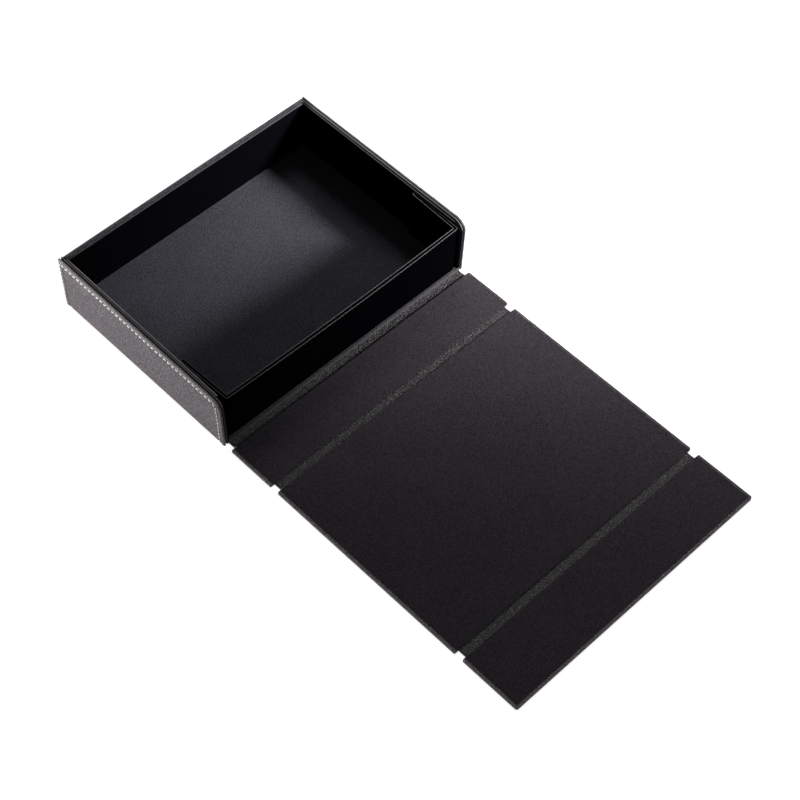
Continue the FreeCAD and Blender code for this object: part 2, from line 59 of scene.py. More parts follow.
class Channel:
    """A socket in a finish. Arithmetic on it adds Math nodes."""

    def __init__(self, finish, socket):
        self.finish = finish
        self.socket = socket

    def maths(self, operation, *values):
        return self.finish.add(
            "ShaderNodeMath", {"operation": operation}, dict(enumerate(values))
        )

    def __add__(self, other):
        return self.maths("ADD", self, other)

    def __radd__(self, other):
        return self.maths("ADD", other, self)

    def __sub__(self, other):
        return self.maths("SUBTRACT", self, other)

    def __rsub__(self, other):
        return self.maths("SUBTRACT", other, self)

    def __mul__(self, other):
        return self.maths("MULTIPLY", self, other)

    def __rmul__(self, other):
        return self.maths("MULTIPLY", other, self)

    def smooth(self, low, high):
        """0 below low, 1 above high and an even turn between them."""
        return self.finish.add(
            "ShaderNodeMapRange",
            {"interpolation_type": "SMOOTHSTEP"},
            {"Value": self, "From Min": low, "From Max": high},
        )


class Finish:
    """A material under construction. add() makes any node and gives one of its outputs."""

    def __init__(self, name, **shader):
        self.material = bpy.data.materials.new(name)
        self.material.use_nodes = True
        self.tree = self.material.node_tree
        self.shader = self.tree.nodes["Principled BSDF"]
        self.surface(**shader)

    def feed(self, node, values):
        """Set or link the sockets of a node by name or number."""
        for key, value in values.items():
            if isinstance(value, Channel):
                self.tree.links.new(value.socket, node.inputs[key])
            else:
                node.inputs[key].default_value = value

    def add(self, kind, settings=None, values=None, out=0):
        node = self.tree.nodes.new(kind)
        for key, value in (settings or {}).items():
            setattr(node, key, value)
        self.feed(node, values or {})
        return Channel(self, node.outputs[out])

    def place(self):
        """Where a point lies in the frame, however its body is turned."""
        return self.add("ShaderNodeTexCoord", out="Object")

    def mix(self, share, first, second):
        """first where share is 0, second where it is 1, as colours."""
        return self.add(
            "ShaderNodeMix", {"data_type": "RGBA"}, {0: share, 6: first, 7: second}, out=2
        )

    def grain(self, place, size, detail=2.0, roughness=0.5):
        """Soft cloudy noise between about 0.3 and 0.7, with features of a size in metres."""
        return self.add(
            "ShaderNodeTexNoise",
            values={"Vector": place, "Scale": 1 / size, "Detail": detail, "Roughness": roughness},
        )

    def relief(self, height, distance, strength=1.0):
        """Small ups and downs of a surface, of a depth in metres."""
        bump = {"Height": height, "Distance": distance, "Strength": strength}
        self.feed(self.shader, {"Normal": self.add("ShaderNodeBump", values=bump)})

    def surface(self, **channels):
        """Feed the shader's own sockets, named in lower case, and give the material."""
        for key, value in channels.items():
            label = key.replace("_", " ").title().replace("Ior", "IOR")
            self.feed(self.shader, {label: value})
        return self.material


def pebbled_leather(name, cell, depth, top, painted_crease_shade, gloss, painted_rim_highlight=None):
    """Leather with a stamped pebble grain: rounded cells, parted by narrow creases that are coloured
    near black as painted shade.

    The last argument is a height and a colour: above that height the grain is painted over with the
    paler colour, a painted highlight where the rolled rim catches the light.
    """
    crease_width = 0.30
    wander = 1.3 * cell
    fine_size = cell / 6
    patch_size = 22 * MM
    leather = Finish(
        name, specular_ior_level=gloss, specular_tint=(1.0, 0.88, 0.95, 1), sheen_weight=0.03
    )
    place = leather.place()
    drift = leather.add(
        "ShaderNodeTexNoise", values={"Vector": place, "Scale": 0.6 / cell, "Detail": 1.0}, out=1
    )
    moved = leather.add(
        "ShaderNodeVectorMath",
        {"operation": "MULTIPLY_ADD"},
        {0: drift, 1: (wander, wander, wander), 2: place},
    )
    cells = {"Vector": moved, "Scale": 1 / cell, "Randomness": 0.85}
    edge = leather.add("ShaderNodeTexVoronoi", {"feature": "DISTANCE_TO_EDGE"}, cells)
    dome = leather.add("ShaderNodeTexVoronoi", {"feature": "F1"}, cells)
    each = leather.add("ShaderNodeTexVoronoi", {"feature": "F1"}, cells, out="Color")
    lot = leather.add("ShaderNodeSeparateXYZ", values={0: each})
    crease = edge.smooth(0.0, crease_width)
    fine = leather.grain(place, fine_size, 3.0)
    broad = leather.grain(place, patch_size, 2.0)
    height = crease * (0.5 + lot * 0.4) + (1 - dome) * 0.5 + fine * 0.12
    leather.relief(height, depth)
    # Painted shade: the creases take the near black colour, over the real grain.
    tone = crease * (0.52 + lot * 0.48) + (fine - 0.5) * 0.4 + (broad - 0.5) * 0.2
    colour = leather.mix(tone, (*painted_crease_shade, 1), (*top, 1))
    # Painted highlight on the rolled rim, above the given height.
    if painted_rim_highlight:
        foot, rim_highlight_colour = painted_rim_highlight
        fade = 0.8 * MM
        up = leather.add("ShaderNodeSeparateXYZ", values={0: place}, out="Z")
        colour = leather.mix(up.smooth(foot, foot + fade), colour, (*rim_highlight_colour, 1))
    dull = 0.74 - crease * (0.16 + lot * 0.18) + (broad - 0.5) * 0.1
    return leather.surface(base_color=colour, roughness=dull)


LEATHER = pebbled_leather(
    "pebbled_leather", 1.2 * MM, 0.60 * MM, (0.190, 0.164, 0.181), (0.003, 0.0027, 0.003), 0.55
)


SQUARE_ON = 0.9999


def mesh_from(form, name, material, body, settle=None):
    """Turn a bmesh into a finished piece on a body of the box. settle moves each of its points.

    Faces that stand square to an axis stay flat, and all others are shaded smooth.
    """
    for face in form.faces:
        face.smooth = max(abs(part) for part in face.normal) < SQUARE_ON
    if settle:
        for vert in form.verts:
            vert.co = settle(vert.co)
    mesh = bpy.data.meshes.new(name)
    form.to_mesh(mesh)
    form.free()
    mesh.materials.append(material)
    piece = bpy.data.objects.new(name, mesh)
    bpy.context.scene.collection.objects.link(piece)
    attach(piece, body)
    return piece


TOUCHING = 0.001 * MM
FLAT_TURN = math.radians(0.5)
SHARP_TURN = math.radians(50)
ROUNDING_STEPS = 3


def part_form(node, between=None):
    """The solid of a part as a clean bmesh, cut to a stretch of Y where one is given."""
    form = bmesh.new()
    form.from_mesh(nodes[node].data)
    bmesh.ops.remove_doubles(form, verts=form.verts, dist=TOUCHING)
    if between:
        for place, outwards in zip(between, (-1, 1)):
            everything = form.verts[:] + form.edges[:] + form.faces[:]
            bmesh.ops.bisect_plane(
                form, geom=everything, plane_co=(0, place, 0), plane_no=(0, outwards, 0),
                clear_outer=True,
            )
            rim = [edge for edge in form.edges if edge.is_boundary]
            bmesh.ops.triangle_fill(form, edges=rim, use_beauty=True)
    form.normal_update()
    bmesh.ops.dissolve_limit(form, angle_limit=FLAT_TURN, verts=form.verts, edges=form.edges)
    bmesh.ops.recalc_face_normals(form, faces=form.faces)
    return form


def soften(form, radius, chosen=lambda edge: True):
    """Round the sharp edges of a form, as leather and pressed card have them."""
    sharp = [
        edge for edge in form.edges
        if len(edge.link_faces) == 2 and edge.calc_face_angle() > SHARP_TURN and chosen(edge)
    ]
    bmesh.ops.bevel(
        form, geom=sharp, offset=radius, segments=ROUNDING_STEPS, profile=0.5, affect="EDGES",
        clamp_overlap=True,
    )
    form.normal_update()
    return form


HAIR = 0.01 * MM
PRESSED_ROUND = 0.1 * MM
FRONT_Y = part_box("base_card")[0].y
TRAY_BACK_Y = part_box("base_card")[1].y

base_skin = mesh_from(
    soften(part_form("base_leather", (FRONT_Y + HAIR, TRAY_BACK_Y - HAIR)), PRESSED_ROUND),
    "base_skin", LEATHER, "box",
)
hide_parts("base_leather")


# --- Base card and its ledge ---------------------------------------------------------------------
# A stiff black card, with thin microfibre glued over it and down over its front edge. A narrow
# ledge of it shows between the front wall and the first groove.


def microfibre(name, lit, dark, sheen=0.0, rim=None):
    """Short dense nap, near black, with a fine grain that sparkles a little in side light.

    rim is a height and a colour: just below that height the cloth is painted paler, a painted
    highlight where its top edge catches the light.
    """
    nap_size = 0.45 * MM
    speck_size = 0.75 * MM
    cloud_size = 30 * MM
    cloth = Finish(name, sheen_weight=sheen, sheen_roughness=0.45, specular_ior_level=0.0)
    place = cloth.place()
    nap = cloth.grain(place, nap_size, 2.0, 0.7)
    speck = cloth.grain(place, speck_size, 2.0, 0.6)
    cloudy = cloth.grain(place, cloud_size, 3.0)
    tone = nap.smooth(0.38, 0.62) * 0.6 + speck.smooth(0.38, 0.62) * 0.4 + (cloudy - 0.5) * 0.2
    colour = cloth.mix(tone, (*dark, 1), (*lit, 1))
    if rim:
        top, painted_highlight_tone = rim
        up = cloth.add("ShaderNodeSeparateXYZ", values={0: place}, out="Z")
        # Painted highlight: a paler band just below the top edge.
        painted_edge_highlight = up.smooth(top - 0.6 * MM, top - 0.2 * MM)
        colour = cloth.mix(painted_edge_highlight, colour, (*painted_highlight_tone, 1))
    cloth.relief(nap, 0.05 * MM, 0.8)
    return cloth.surface(base_color=colour, roughness=0.72 + nap * 0.2)


# Painted light: the ledge's microfibre is coloured paler than the same cloth elsewhere, for the light
# that the ledge catches.
LEDGE_CLOTH = microfibre("ledge_cloth", (0.120, 0.114, 0.124), (0.024, 0.023, 0.025), 0.02)


def black_card():
    """Dull card, dyed through, which hardly shows anywhere."""
    card = Finish("black_card", specular_ior_level=0.0)
    fibres = card.grain(card.place(), 0.5 * MM, 4.0, 0.7)
    card.relief(fibres, 0.04 * MM, 0.6)
    colour = card.mix(fibres, (0.002, 0.002, 0.002, 1), (0.004, 0.004, 0.004, 1))
    return card.surface(base_color=colour, roughness=0.8 + fibres * 0.15)


CARD = black_card()


def finish_nodes(material, *names):
    """Give carried-over parts a finish, without touching their shape."""
    for name in names:
        part = nodes[name]
        part.data.materials.clear()
        part.data.materials.append(material)


def run_across(name, node, section, material, body, settle=None, slices=2):
    """A flat section in Y and Z, run from end to end of a part in even slices."""
    low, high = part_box(node)
    form = bmesh.new()
    rings = []
    for place in range(slices + 1):
        x = low.x + (high.x - low.x) * place / slices
        rings.append([form.verts.new((x, y, z)) for y, z in section])
    for ring, following in zip(rings, rings[1:]):
        for place in range(len(section)):
            after = (place + 1) % len(section)
            form.faces.new((ring[place], ring[after], following[after], following[place]))
    form.faces.new(rings[0])
    form.faces.new(rings[-1])
    bmesh.ops.recalc_face_normals(form, faces=form.faces)
    form.normal_update()
    piece = mesh_from(form, name, material, body, settle)
    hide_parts(node)
    return piece


finish_nodes(CARD, "base_card")
low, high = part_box("base_cloth")
groove_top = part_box("front_groove_near")[1].z
LEDGE_WRAP = 0.3 * MM
LEDGE_ROUND = 0.3 * MM
face_y = low.y - LEDGE_WRAP
LEDGE_SECTION = (
    (low.y, low.z), (low.y, groove_top), (face_y, groove_top), (face_y, high.z - LEDGE_ROUND),
    (face_y + 0.3 * LEDGE_ROUND, high.z - 0.3 * LEDGE_ROUND), (face_y + LEDGE_ROUND, high.z),
    (high.y, high.z), (high.y, low.z),
)
ledge_cloth = run_across("ledge_cloth", "base_cloth", LEDGE_SECTION, LEDGE_CLOTH, "box")


# --- Side walls ----------------------------------------------------------------------------------
# Each is leather, a card core and a second leather, sewn together along three edges, with lined
# card glued inside. The outer leather is pressed in along the seam and rolls over at the rim. Held
# only at the back and the foot, the walls have sprung outwards towards their free front ends.

BACK_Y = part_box("left_side_leather")[1].y
WALL_END_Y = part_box("left_side_leather")[0].y
RIM_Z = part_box("left_side_leather")[1].z
LEFT_LEAN = (0.9 * MM, 2.0 * MM)
RIGHT_LEAN = (0.5 * MM, 1.15 * MM)
STEADY_HALF = 55 * MM
LEAN_GROWS_OVER = 35 * MM
LEAN_CURVE = 0.6
RIGHT_LINING_SHARE = 0.2
WALL_SLICES = 12
CORNER_STEPS = 10


def leaning(point):
    """Lean a point outwards by its height, less at the back and not at all near the middle."""
    x, y, z = point
    forward = (BACK_Y - y) / (BACK_Y - WALL_END_Y)
    at_back, at_front = LEFT_LEAN if x < 0 else RIGHT_LEAN
    lean = at_back + (at_front - at_back) * forward
    outer = min(max((abs(x) - STEADY_HALF) / LEAN_GROWS_OVER, 0), 1)
    up = z / RIM_Z
    shift = lean * outer * up * (1 - LEAN_CURVE + LEAN_CURVE * up)
    return Vector((x + math.copysign(shift, x), y, z))


def barely_leaning(point):
    """The lining on the right has stayed nearly upright, a little apart from the leather."""
    leant = leaning(point)
    return Vector((point[0] + (leant.x - point[0]) * RIGHT_LINING_SHARE, point[1], point[2]))


def sliced(form, axis, low, high, slices):
    """Cut a form into even slices along X or Y, so that it can bend."""
    for step in range(1, slices):
        place = [0.0, 0.0, 0.0]
        direction = [0, 0, 0]
        place[axis] = low + (high - low) * step / slices
        direction[axis] = 1
        everything = form.verts[:] + form.edges[:] + form.faces[:]
        bmesh.ops.bisect_plane(form, geom=everything, plane_co=place, plane_no=direction)
    form.normal_update()
    return form


def open_rim(low, high, inset, radius, back_inset=None):
    """The open edges of a wall, set in: up the back, along the top, round and down the front."""
    back_inset = inset if back_inset is None else back_inset
    centre_y = low.y + radius
    centre_z = high.z - radius
    turn = max(radius - inset, 2 * HAIR)
    path = [(high.y - back_inset, low.z), (high.y - back_inset, high.z - inset)]
    for step in range(CORNER_STEPS + 1):
        angle = math.pi / 2 * (1 + step / CORNER_STEPS)
        path.append((centre_y + turn * math.cos(angle), centre_z + turn * math.sin(angle)))
    path.append((low.y + inset, low.z))
    return path


def wall_layer(name, node, section, radius, material, settle=leaning):
    """A wall layer with the given section along its open edges."""
    low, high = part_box(node)
    outwards = -1 if low.x < 0 else 1
    if "liner" in node:
        outwards = -outwards
    glued = low.x if outwards > 0 else high.x
    form = bmesh.new()
    rings = []
    for inset, height in section:
        x = glued + outwards * height
        rings.append([form.verts.new((x, y, z)) for y, z in open_rim(low, high, inset, radius)])
    for ring, following in zip(rings, rings[1:]):
        for place in range(len(ring) - 1):
            corners = (ring[place], ring[place + 1], following[place + 1], following[place])
            form.faces.new(corners)
    form.faces.new(rings[0])
    form.faces.new(rings[-1])
    form.faces.new([ring[0] for ring in rings] + [ring[-1] for ring in reversed(rings)])
    bmesh.ops.remove_doubles(form, verts=form.verts, dist=0.1 * TOUCHING)
    bmesh.ops.recalc_face_normals(form, faces=form.faces)
    sliced(form, 1, WALL_END_Y, BACK_Y, WALL_SLICES)
    piece = mesh_from(form, name, material, "box", settle)
    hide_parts(node)
    return piece


def thickness(node):
    """How thick a layer of a side wall is."""
    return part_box(node)[1].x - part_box(node)[0].x


CORNER_RADIUS = 8.0 * MM
SEAM_INSET = 3.7 * MM
SKIN = thickness("left_side_leather")
PADDED = SKIN + 0.30 * MM
# Each edge section is a list of (inset from the open edge, height above the glued face).
ROLLED_EDGE = (
    (0.26 * MM, 0.0), (0.08 * MM, 0.06 * MM), (0.01 * MM, 0.18 * MM), (0.00 * MM, 0.42 * MM),
    (0.01 * MM, PADDED - 0.48 * MM), (0.09 * MM, PADDED - 0.23 * MM), (0.26 * MM, PADDED - 0.08 * MM),
    (0.60 * MM, PADDED - 0.01 * MM), (1.40 * MM, PADDED), (2.40 * MM, PADDED - 0.07 * MM),
    (3.20 * MM, SKIN), (SEAM_INSET, SKIN - 0.20 * MM), (4.20 * MM, SKIN - 0.10 * MM),
    (4.90 * MM, SKIN - 0.01 * MM), (7.90 * MM, SKIN),
)
INNER_SKIN = thickness("left_side_backing")
ROUND_EDGE = (
    (0.55 * MM, 0.0), (0.20 * MM, 0.08 * MM), (0.04 * MM, 0.24 * MM), (0.00 * MM, 0.50 * MM),
    (0.04 * MM, INNER_SKIN - 0.24 * MM), (0.20 * MM, INNER_SKIN - 0.08 * MM),
    (0.55 * MM, INNER_SKIN),
)
LINER = thickness("left_side_liner")
LINED_EDGE = (
    (0.90 * MM, 0.0), (0.90 * MM, 0.34 * MM), (0.16 * MM, 0.38 * MM), (0.04 * MM, 0.50 * MM),
    (0.00 * MM, 0.70 * MM), (0.03 * MM, LINER - 0.26 * MM), (0.14 * MM, LINER - 0.09 * MM),
    (0.34 * MM, LINER),
)
# Painted highlights on the linings' top edges: bright on the left wall, whose edge faces the key
# lamp, and dim on the right wall, whose edge faces away from it; lit and shaded copies of one cloth.
LEFT_EDGE_LIT_HIGHLIGHT = (0.300, 0.288, 0.305)
RIGHT_EDGE_SHADED_HIGHLIGHT = (0.055, 0.053, 0.058)
# Painted shade: the side linings are the same microfibre as the floor, coloured near black.
SIDE_NAP_PAINTED_SHADE = ((0.0034, 0.0032, 0.0042), (0.0012, 0.0011, 0.0016))
LINER_CLOTHS = {
    "left": microfibre("left_liner_cloth_lit_edge", *SIDE_NAP_PAINTED_SHADE, rim=(RIM_Z, LEFT_EDGE_LIT_HIGHLIGHT)),
    "right": microfibre("right_liner_cloth_shaded_edge", *SIDE_NAP_PAINTED_SHADE, rim=(RIM_Z, RIGHT_EDGE_SHADED_HIGHLIGHT)),
}
# The side leather carries a painted highlight on its rolled rim, above the seam.
SIDE_LEATHER = pebbled_leather(
    "side_leather", 1.2 * MM, 0.60 * MM, (0.190, 0.164, 0.181), (0.003, 0.0027, 0.003), 0.55,
    (RIM_Z - SEAM_INSET, (0.175, 0.165, 0.171)),
)


def backing_leather():
    """The same leather, seen on its edge: brown-grey along the rim and near black on the ends."""
    dark_below = RIM_Z - 7.0 * MM
    pale_above = RIM_Z - 3.0 * MM
    leather = Finish("backing_leather", specular_ior_level=0.15)
    place = leather.place()
    up = leather.add("ShaderNodeSeparateXYZ", values={0: place}, out="Z")
    fine = leather.grain(place, 0.5 * MM, 3.0)
    top = up.smooth(dark_below, pale_above)
    rim = leather.mix(fine, (0.090, 0.085, 0.090, 1), (0.150, 0.142, 0.150, 1))
    leather.relief(fine, 0.1 * MM)
    return leather.surface(
        base_color=leather.mix(top, (0.006, 0.006, 0.008, 1), rim), roughness=0.6 + fine * 0.2
    )


BACKING = backing_leather()

for side in ("left", "right"):
    skin = wall_layer(
        f"{side}_wall_skin", f"{side}_side_leather", ROLLED_EDGE, CORNER_RADIUS, SIDE_LEATHER
    )
    backing = wall_layer(
        f"{side}_wall_backing", f"{side}_side_backing", ROUND_EDGE, CORNER_RADIUS, BACKING
    )
    liner = wall_layer(
        f"{side}_wall_liner", f"{side}_side_liner", LINED_EDGE, CORNER_RADIUS, LINER_CLOTHS[side],
        barely_leaning if side == "right" else leaning,
    )
    core = sliced(part_form(f"{side}_side_card"), 1, WALL_END_Y, BACK_Y, WALL_SLICES)
    core = mesh_from(core, f"{side}_wall_core", CARD, "box", leaning)
    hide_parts(f"{side}_side_card")


# --- Seams of the side walls ---------------------------------------------------------------------
# Off-white thread, machine sewn: up the back edge, along the top and down the front of each wall.
# Every stitch lies a little askew and dips into its needle holes.


def thread():
    """Off-white cotton, with a fine slanting twist."""
    twists_per_metre = 900.0
    cotton = Finish("seam_thread", sheen_weight=0.3)
    twist = cotton.add(
        "ShaderNodeTexWave",
        {"bands_direction": "DIAGONAL"},
        {"Vector": cotton.place(), "Scale": twists_per_metre, "Distortion": 1.5, "Detail": 1.0},
        out=1,
    )
    cotton.relief(twist, 0.05 * MM, 0.7)
    colour = cotton.mix(twist, (0.80, 0.78, 0.75, 1), (0.98, 0.96, 0.94, 1))
    return cotton.surface(base_color=colour, roughness=0.75 + twist * 0.1)


THREAD = thread()
SPACING = 3.55 * MM
STITCH_LENGTH = 1.95 * MM
THREAD_WIDTH = 1.0 * MM
ARCH = 0.30 * MM
SLANT = math.radians(10)
UNEVENNESS = math.radians(3)
SEED = 7
ROUND_SIDES = 7
ARCH_STEPS = 6


def seam_tree(material):
    """Geometry nodes: one arched stitch on every spacing of a path that lies in a plane of X."""
    tree = bpy.data.node_groups.new("seam", "GeometryNodeTree")
    tree.interface.new_socket("Path", in_out="INPUT", socket_type="NodeSocketGeometry")
    for label, size in (
        ("Spacing", SPACING), ("Stitch Length", STITCH_LENGTH), ("Thread Width", THREAD_WIDTH),
        ("Arch", ARCH), ("Slant", SLANT), ("Unevenness", UNEVENNESS),
    ):
        socket = tree.interface.new_socket(label, in_out="INPUT", socket_type="NodeSocketFloat")
        socket.default_value = size
    seed = tree.interface.new_socket("Seed", in_out="INPUT", socket_type="NodeSocketInt")
    seed.default_value = SEED
    tree.interface.new_socket("Seam", in_out="OUTPUT", socket_type="NodeSocketGeometry")

    def add(kind, settings=None, **links):
        """A node of the tree. i0, i1 and so on feed its sockets by number."""
        node = tree.nodes.new(kind)
        for key, value in (settings or {}).items():
            setattr(node, key, value)
        for key, value in links.items():
            socket = node.inputs[int(key[1:])]
            if isinstance(value, bpy.types.NodeSocket):
                tree.links.new(value, socket)
            else:
                socket.default_value = value
        return node

    def maths(operation, *values):
        links = {f"i{place}": value for place, value in enumerate(values)}
        return add("ShaderNodeMath", {"operation": operation}, **links).outputs[0]

    given = add("NodeGroupInput").outputs
    path = add("GeometryNodeMeshToCurve", i0=given["Path"]).outputs[0]
    even = add("GeometryNodeResampleCurve", {"mode": "LENGTH"}, i0=path)
    tree.links.new(given["Spacing"], even.inputs["Length"])
    half = maths("MULTIPLY", given["Stitch Length"], 0.5)
    start = add("ShaderNodeCombineXYZ", i1=maths("MULTIPLY", half, -1.0)).outputs[0]
    middle = add("ShaderNodeCombineXYZ", i0=maths("MULTIPLY", given["Arch"], 2.0)).outputs[0]
    end = add("ShaderNodeCombineXYZ", i1=half).outputs[0]
    arch = add(
        "GeometryNodeCurveQuadraticBezier", i0=ARCH_STEPS, i1=start, i2=middle, i3=end
    ).outputs[0]
    round_section = add("GeometryNodeCurvePrimitiveCircle")
    round_section.inputs["Resolution"].default_value = ROUND_SIDES
    tree.links.new(maths("MULTIPLY", given["Thread Width"], 0.5), round_section.inputs["Radius"])
    stitch = add("GeometryNodeCurveToMesh", i0=arch, i1=round_section.outputs[0])
    stitch.inputs["Fill Caps"].default_value = True
    tangent = add("ShaderNodeSeparateXYZ", i0=add("GeometryNodeInputTangent").outputs[0]).outputs
    chance = add("FunctionNodeRandomValue", {"data_type": "FLOAT"})
    chance.inputs[2].default_value = -1.0
    chance.inputs[3].default_value = 1.0
    tree.links.new(given["Seed"], chance.inputs["Seed"])
    askew = maths("MULTIPLY", chance.outputs[1], given["Unevenness"])
    along = maths("ARCTAN2", tangent["Z"], tangent["Y"])
    turn = maths("ADD", maths("ADD", along, given["Slant"]), askew)
    turned = add("FunctionNodeEulerToRotation", i0=add("ShaderNodeCombineXYZ", i0=turn).outputs[0])
    sewn = add("GeometryNodeInstanceOnPoints", i0=even.outputs[0])
    tree.links.new(stitch.outputs[0], sewn.inputs["Instance"])
    tree.links.new(turned.outputs[0], sewn.inputs["Rotation"])
    real = add("GeometryNodeRealizeInstances", i0=sewn.outputs[0]).outputs[0]
    done = add("GeometryNodeSetMaterial", i0=real)
    done.inputs["Material"].default_value = material
    add("NodeGroupOutput", i0=done.outputs[0])
    return tree


BACK_SEAM_INSET = 1.1 * MM
SUNK = 0.10 * MM
SEAM_START = 1.6 * MM


def sew(name, node, tree, outwards):
    """Lay the seam's path on the outer leather of a wall and sew along it."""
    low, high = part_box(node)
    surface = (low.x if outwards < 0 else high.x) - outwards * SUNK
    path = open_rim(low, high, SEAM_INSET, CORNER_RADIUS, BACK_SEAM_INSET)
    path[0] = (path[0][0], low.z + SEAM_START)
    path[-1] = (path[-1][0], low.z + SEAM_START)
    points = [(surface, y, z) for y, z in path]
    steps = [(place, place + 1) for place in range(len(path) - 1)]
    mesh = bpy.data.meshes.new(name)
    mesh.from_pydata(points, steps, [])
    line = bpy.data.objects.new(name, mesh)
    bpy.context.scene.collection.objects.link(line)
    modifier = line.modifiers.new("seam", "NODES")
    modifier.node_group = tree
    inputs = {item.name: item.identifier for item in tree.interface.items_tree}
    modifier[inputs["Arch"]] = ARCH * outwards
    modifier[inputs["Slant"]] = SLANT * outwards
    bpy.context.view_layer.update()
    ready = line.evaluated_get(bpy.context.evaluated_depsgraph_get())
    sewn = bpy.data.meshes.new_from_object(ready)
    line.modifiers.clear()
    line.data = sewn
    sewn.name = name
    sewn.materials.clear()
    sewn.materials.append(THREAD)
    for face in sewn.polygons:
        face.use_smooth = True
    for vert in sewn.vertices:
        vert.co = leaning(vert.co)
    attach(line, "box")


SEAM = seam_tree(THREAD)
sew("left_wall_seam", "left_side_leather", SEAM, -1)
sew("right_wall_seam", "right_side_leather", SEAM, 1)


# --- Back wall -----------------------------------------------------------------------------------
# Leather comes up over the back and folds forwards over the rim of the card, where its cut edge
# lies beside a lined card. The wall leans back a little, most near its middle.

BOW = 0.35 * MM
MOST_BOWED = 20 * MM
BOW_REACH = 130 * MM
LONG_SLICES = 24


def bowed(point):
    """Lean a point of the back wall backwards by its height, besides the lean of the side walls."""
    x, y, z = leaning(point)
    across = (x - MOST_BOWED) / BOW_REACH
    return Vector((x, y + BOW * (1 - across * across) * z / RIM_Z, z))


low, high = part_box("back_leather")
cut_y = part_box("back_card")[0].y
card_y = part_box("back_card")[1].y
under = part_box("back_card")[1].z
PRESSED_Y = cut_y + 0.95 * MM
FOLDED_LEATHER = (
    (cut_y, under), (cut_y, high.z - 0.30 * MM), (cut_y + 0.08 * MM, high.z - 0.09 * MM),
    (cut_y + 0.28 * MM, high.z), (PRESSED_Y - 0.34 * MM, high.z - 0.02 * MM),
    (PRESSED_Y - 0.26 * MM, high.z - 0.70 * MM), (PRESSED_Y + 0.26 * MM, high.z - 0.70 * MM),
    (PRESSED_Y + 0.36 * MM, high.z - 0.10 * MM), (PRESSED_Y + 0.70 * MM, high.z),
    (high.y - 0.90 * MM, high.z - 0.04 * MM), (high.y - 0.40 * MM, high.z - 0.22 * MM),
    (high.y - 0.12 * MM, high.z - 0.55 * MM), (high.y, high.z - 1.10 * MM),
    (high.y, low.z), (card_y, low.z), (card_y, under),
)
BACK_LEATHER = pebbled_leather(
    "back_leather", 1.2 * MM, 0.30 * MM, (0.060, 0.060, 0.070), (0.008, 0.008, 0.010), 0.3
)
back_skin = run_across(
    "back_skin", "back_leather", FOLDED_LEATHER, BACK_LEATHER, "box", bowed, LONG_SLICES
)

low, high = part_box("back_liner")
BACK_LINED_EDGE = (
    (low.y, low.z), (low.y, high.z - 0.40 * MM), (low.y + 0.08 * MM, high.z - 0.16 * MM),
    (low.y + 0.26 * MM, high.z - 0.03 * MM), (low.y + 0.50 * MM, high.z),
    (high.y - 0.62 * MM, high.z - 0.05 * MM), (high.y - 0.50 * MM, high.z - 1.0 * MM),
    (high.y, high.z - 1.0 * MM), (high.y, low.z),
)
# Painted shade and a painted highlight: the back lining is the same microfibre as the floor, coloured
# near black, and paler along its top edge.
BACK_EDGE_HIGHLIGHT = (0.058, 0.056, 0.060)
BACK_NAP_PAINTED_SHADE = ((0.0021, 0.0019, 0.0027), (0.0007, 0.0007, 0.0010))
BACK_CLOTH = microfibre("back_liner_cloth", *BACK_NAP_PAINTED_SHADE, rim=(high.z, BACK_EDGE_HIGHLIGHT))
back_lining = run_across(
    "back_lining", "back_liner", BACK_LINED_EDGE, BACK_CLOTH, "box", bowed, LONG_SLICES
)
low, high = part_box("back_card")
back_core = sliced(part_form("back_card"), 0, low.x, high.x, LONG_SLICES)
back_core = mesh_from(back_core, "back_core", CARD, "box", bowed)
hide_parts("back_card")


# --- Front wall ----------------------------------------------------------------------------------
# A card bent at both ends and wrapped in microfibre, glued on its foot and by the tips of its
# returns. It leans forwards, most in the middle, and its ends follow the side walls part way.

WALL_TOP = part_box("front_wall_cloth")[1].z
WALL_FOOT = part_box("front_wall_cloth")[0].z
WALL_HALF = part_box("front_wall_cloth")[1].x
WALL_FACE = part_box("front_wall_cloth")[0].y
# Painted shade and a painted highlight: the front wall's cloth is the same microfibre as the floor,
# coloured near black, and paler along its top edge.
WALL_NAP_PAINTED_SHADE = ((0.0016, 0.0015, 0.0024), (0.0005, 0.0005, 0.0008))
WALL_EDGE_HIGHLIGHT = (0.090, 0.0864, 0.090)
WALL_CLOTH = microfibre("front_wall_cloth", *WALL_NAP_PAINTED_SHADE, rim=(WALL_TOP, WALL_EDGE_HIGHLIGHT))
TILT = 0.3 * MM
SPRING = 1.25 * MM
SPRING_FADES_OVER = 6 * MM
ENDS_FOLLOW = 0.65
WRAP_ROUND = 0.2 * MM


def sprung(point):
    """Lean a point of the front wall forwards by its height, and its ends outwards."""
    x, y, z = point
    x = x + (leaning(point).x - x) * ENDS_FOLLOW
    across = x / WALL_HALF
    up = (z - WALL_FOOT) / (WALL_TOP - WALL_FOOT)
    behind = min(max((y - WALL_FACE) / SPRING_FADES_OVER, 0), 1)
    bulge = SPRING * max(0, 1 - across * across) * (1 - behind)
    return Vector((x, y - (TILT + bulge) * up, z))


for name, node, radius, material, slot in (
    ("front_wall_wrap", "front_wall_cloth", WRAP_ROUND, WALL_CLOTH, "microfibre"),
    ("front_wall_core", "front_wall_card", PRESSED_ROUND, CARD, "card"),
):
    wall = sliced(soften(part_form(node), radius), 0, -WALL_HALF, WALL_HALF, LONG_SLICES)
    wall = mesh_from(wall, name, material, "box", sprung)
    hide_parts(node)


# --- Tray floor ----------------------------------------------------------------------------------
# A separate card with microfibre glued on top, cut away for the front wall's returns. It lies
# loose on the base.

